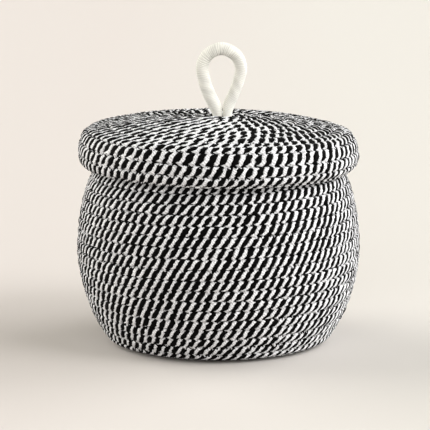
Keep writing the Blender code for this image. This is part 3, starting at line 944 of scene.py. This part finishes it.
thread = {
    "pitch": 1.80 * mm,
    "roundness": 0.8,          # lower is rounder
    "relief": 0.16 * mm,
    "bendRelief": 0.85 * mm,   # more where the winding goes over the bend
    "bend": (-6.0, 26.0),      # its middle and half its width along the loop from the top, in millimetres
    "outerShare": 0.15,        # of that relief which the outer side of the bend has
    "reliefRange": (0.25, 1.0),  # from one turn of the thread to another
    # how far the turns drift along the loop, and over what length
    "drift": ((0.35 * mm, 2.3 * mm), (0.3 * mm, 3.7 * mm)),
    "wobble": 0.07 * mm,       # of the cord's radius
    "wobbleLength": 3.1,       # in millimetres, as are the next two
    "mottleLengths": (2.9, 7.3),
    "mottle": 0.06,
    # painted shade between two turns and painted light at the legs' foot, both put into the thread's colour
    "shadow": (0.06, 0.70),    # between two turns, and more where they stand out
    "footLight": 0.2,
    "footSpan": (28.0 * mm, 42.0 * mm),
    "closing": 0.8 * mm,       # length over which the ends of the winding close in
    "spacing": 0.27 * mm,
    "sides": 28,
    "seed": 3,
}
handleCore = {
    "lay": 14.0 * mm,          # length in which its strands go once round
    "relief": 0.14,
    "spacing": 1.0 * mm,
    "sides": 24,
}


def lashHeight():
    return lashing["turns"] * (lashing["thread"] + lashing["spacing"]) + lashing["thread"]


def loopLine(extra, spacing):
    # middle line of the loop in the XZ plane, smooth through the places of both legs and the top and
    # straight down below the lid, spaced evenly by length, with the cord's radius along it
    foot = lidTop - bodyForm["cordThickness"] - lashing["gap"] - lashHeight() - loop["legTail"] - extra
    half, slim = loop["legHalf"], loop["legRadius"]
    places = np.array([*loop["left"], loop["top"], *loop["right"][::-1]]) * mm
    places[:, 1] += lidTop
    heights = (foot, 0.5 * (foot + lidTop) - loop["middleDrop"], lidTop - loop["entryDepth"])
    below = [(-half, z, slim) for z in heights]
    after = [(half, z, slim) for z in heights[::-1]]
    line = smoothLine(np.vstack([below, places, after]), 60)
    lengths = np.concatenate([[0.0], np.cumsum(np.hypot(np.diff(line[:, 0]), np.diff(line[:, 1])))])
    at = np.linspace(0.0, lengths[-1], int(lengths[-1] / spacing))
    x, z, radius = (np.interp(at, lengths, line[:, i]) for i in range(3))
    return np.stack([x + loop["offset"], np.zeros(len(at)), z], -1), at, radius


def inwards(line):
    # square to the loop in its own plane, towards its inner side
    tangents = np.gradient(line, axis=0)
    return np.stack([tangents[:, 2], np.zeros(len(line)), -tangents[:, 0]], -1)


def tubeAlong(name, line, radius, sides, lengths, side, shade=None):
    # tube round a line: a ring at each point, square to the line, of a radius that may differ at
    # every place on it; side is the direction of each ring's first point
    tangents = np.gradient(line, axis=0)
    tangents /= np.linalg.norm(tangents, axis=1, keepdims=True)
    second = np.cross(tangents, side)
    second /= np.linalg.norm(second, axis=1, keepdims=True)
    first = np.cross(second, tangents)
    angles = turn * np.arange(sides) / sides
    rings = line[:, None] + radius[..., None] * (
        np.cos(angles)[None, :, None] * first[:, None] + np.sin(angles)[None, :, None] * second[:, None]
    )
    around = np.broadcast_to(np.cos(angles)[None, :], rings.shape[:2])
    uv = np.stack([around, np.broadcast_to(lengths[:, None] / mm, rings.shape[:2])], -1)
    faces = [gridFaces(len(line), sides), endCaps(len(line), sides)]
    return newMesh(name, rings.reshape(-1, 3), faces, uv.reshape(-1, 2), shade)


def windingMesh():
    # thread wound closely round the loop: its turns stand out by a half circle each, more so over
    # the bend, and most on the bend's left and inner side
    line, at, size = loopLine(0.0, thread["spacing"])
    angles = turn * np.arange(thread["sides"]) / thread["sides"]
    drifted = at
    for swing, length in thread["drift"]:
        drifted = drifted + swing * np.sin(at / length)
    share = drifted[:, None] / thread["pitch"] + angles[None, :] / turn
    turns = np.abs(np.cos(math.pi * share)) ** thread["roundness"]
    rng = np.random.default_rng(thread["seed"])
    uneven = rng.uniform(*thread["reliefRange"], int(share.max()) + 2)[np.floor(share).astype(int)]
    fromTop = (at - 0.5 * at[-1]) / mm
    middle, width = thread["bend"]
    bend = np.exp(-((fromTop - middle) / width) ** 2)[:, None]
    innerSide = 0.5 + 0.5 * np.cos(angles)[None, :]
    outer = thread["outerShare"]
    deep = bend * (outer + (1.0 - outer) * innerSide)
    relief = thread["relief"] + thread["bendRelief"] * deep * uneven
    wobble = thread["wobble"] * np.sin(fromTop / thread["wobbleLength"])[:, None]
    radius = size[:, None] - relief * (1.0 - turns) + wobble * np.sin(angles + 1.0)[None, :]
    # the winding closes in on the cord at its two ends
    inset = np.minimum(at, at[-1] - at)
    coreRadius = size[:, None] - loop["windingThickness"]
    radius = coreRadius + (radius - coreRadius) * np.sqrt(smooth(inset, 0.0, thread["closing"])[:, None])
    # painted shade between the turns, deepest where they stand out over the bend, painted light at the
    # foot, and mottled all over
    plain, standing = thread["shadow"]
    atFoot = 1.0 - smooth(inset, *thread["footSpan"])[:, None]
    shade = 0.5 - (plain + standing * deep * uneven) * (1.0 - turns) + thread["footLight"] * atFoot
    short, long = thread["mottleLengths"]
    mottle = np.sin(fromTop[:, None] / short + 2.0 * np.sin(fromTop[:, None] / long) + 2.0 * angles)
    shade = shade + thread["mottle"] * mottle
    return tubeAlong("handle winding", line, radius, thread["sides"], at, inwards(line), shade)


def coreMesh():
    # three strands twisted together: the radius swells three times round, turning along the cord
    line, at, radius = loopLine(loop["coreTail"], handleCore["spacing"])
    sides = handleCore["sides"]
    angles = turn * np.arange(sides) / sides
    size = (radius - loop["windingThickness"] - loop["coreGap"])[:, None]
    lobes = np.abs(np.cos(1.5 * (angles[None, :] - at[:, None] / handleCore["lay"] * turn)))
    radius = size * (1.0 - handleCore["relief"] + handleCore["relief"] * lobes)
    return tubeAlong("handle cord", line, radius, sides, at, inwards(line))


def lashingMesh():
    # turns round both legs: each is two straights and two half circles, and goes down by one pitch
    thick, sides = lashing["thread"], lashing["sides"]
    reach = loop["legRadius"] + lashing["gap"] + thick / 2
    straight = 2.0 * loop["legHalf"]
    half = straight + math.pi * reach
    top = lidTop - bodyForm["cordThickness"] - lashing["gap"] - thick / 2
    at = np.linspace(0.0, 2.0 * half * lashing["turns"], lashing["points"])
    place = at % half
    flip = np.where((at // half) % 2 == 0, 1.0, -1.0)
    bend = np.maximum(place - straight, 0.0) / reach - math.pi / 2
    onBend = place > straight
    x = np.where(onBend, straight / 2 + reach * np.cos(bend), place - straight / 2) * flip
    y = np.where(onBend, reach * np.sin(bend), -reach) * flip
    line = np.stack([x + loop["offset"], y, top - (thick + lashing["spacing"]) * at / (2.0 * half)], -1)
    angles = turn * np.arange(sides) / sides
    lobes = np.abs(np.cos(angles[None, :] - at[:, None] / lashing["lay"] * math.pi))
    radius = thick / 2 * (1.0 - lashing["relief"] + lashing["relief"] * lobes)
    return tubeAlong("handle lashing", line, radius, sides, at, np.tile([0.0, 0.0, 1.0], (len(line), 1)))


def addBasket():
    group = yarnPlyGroup()
    materials = {name: yarnMaterial(name, group) for name in yarns}
    hidden = coreMaterial()
    bodyNodes, lidNodes = ("basket_base", "basket_wall"), ("lid_crown", "lid_skirt")
    addPiece("body_cord", woundShell("body cord", bodyCord), hidden, "basket", bodyNodes)
    addPiece("lid_cord", woundShell("lid cord", lidCord), hidden, "lid", lidNodes)
    print("cords wound")
    # name, body, nodes and cord, and the sides worked over: the outer (1) or inner (-1) one, the
    # lengths along the outline between which it is worked, and its seed
    parting = bodyLine.lengthAtRadius(bodyForm["baseRadius"])
    base, wall, whole = (-1.0, parting), (parting, 1.0), (-1.0, 1.0)
    plan = (
        ("base", "basket", bodyNodes[:1], bodyCord, ((1, base, 10), (-1, base, 20))),
        ("wall", "basket", bodyNodes[1:], bodyCord, ((1, wall, 30),)),
        ("wall_inside", "basket", bodyNodes[1:], bodyCord, ((-1, wall, 40),)),
        ("lid", "lid", lidNodes, lidCord, ((1, whole, 50), (-1, whole, 60))),
    )
    for number, colour in enumerate(("white", "black")):
        for name, body, nodes, cord, sides in plan:
            black = colour == "black"
            parts = [workStitches(cord, face, black, span, seed + number) for face, span, seed in sides]
            mesh = newMesh(name + " " + colour + " yarn", *joined(parts))
            addPiece(name + "_" + colour + "_yarn", mesh, materials[colour], body, nodes)
        print(colour, "stitches worked")
    parts = (
        ("handle_thread", windingMesh, "thread", "handle_winding", "white_thread"),
        ("handle_cord", coreMesh, "lash", "handle_core", "core_cord"),
        ("handle_tie", lashingMesh, "lash", "handle_lashing", "white_thread"),
    )
    for name, make, yarn, node, slot in parts:
        addPiece(name, make(), materials[yarn], "lid", (node,))
    print("handle made")


scene.view_settings.view_transform = "Standard"
addCamera()
addStudio()
print("studio ready")
addBasket()
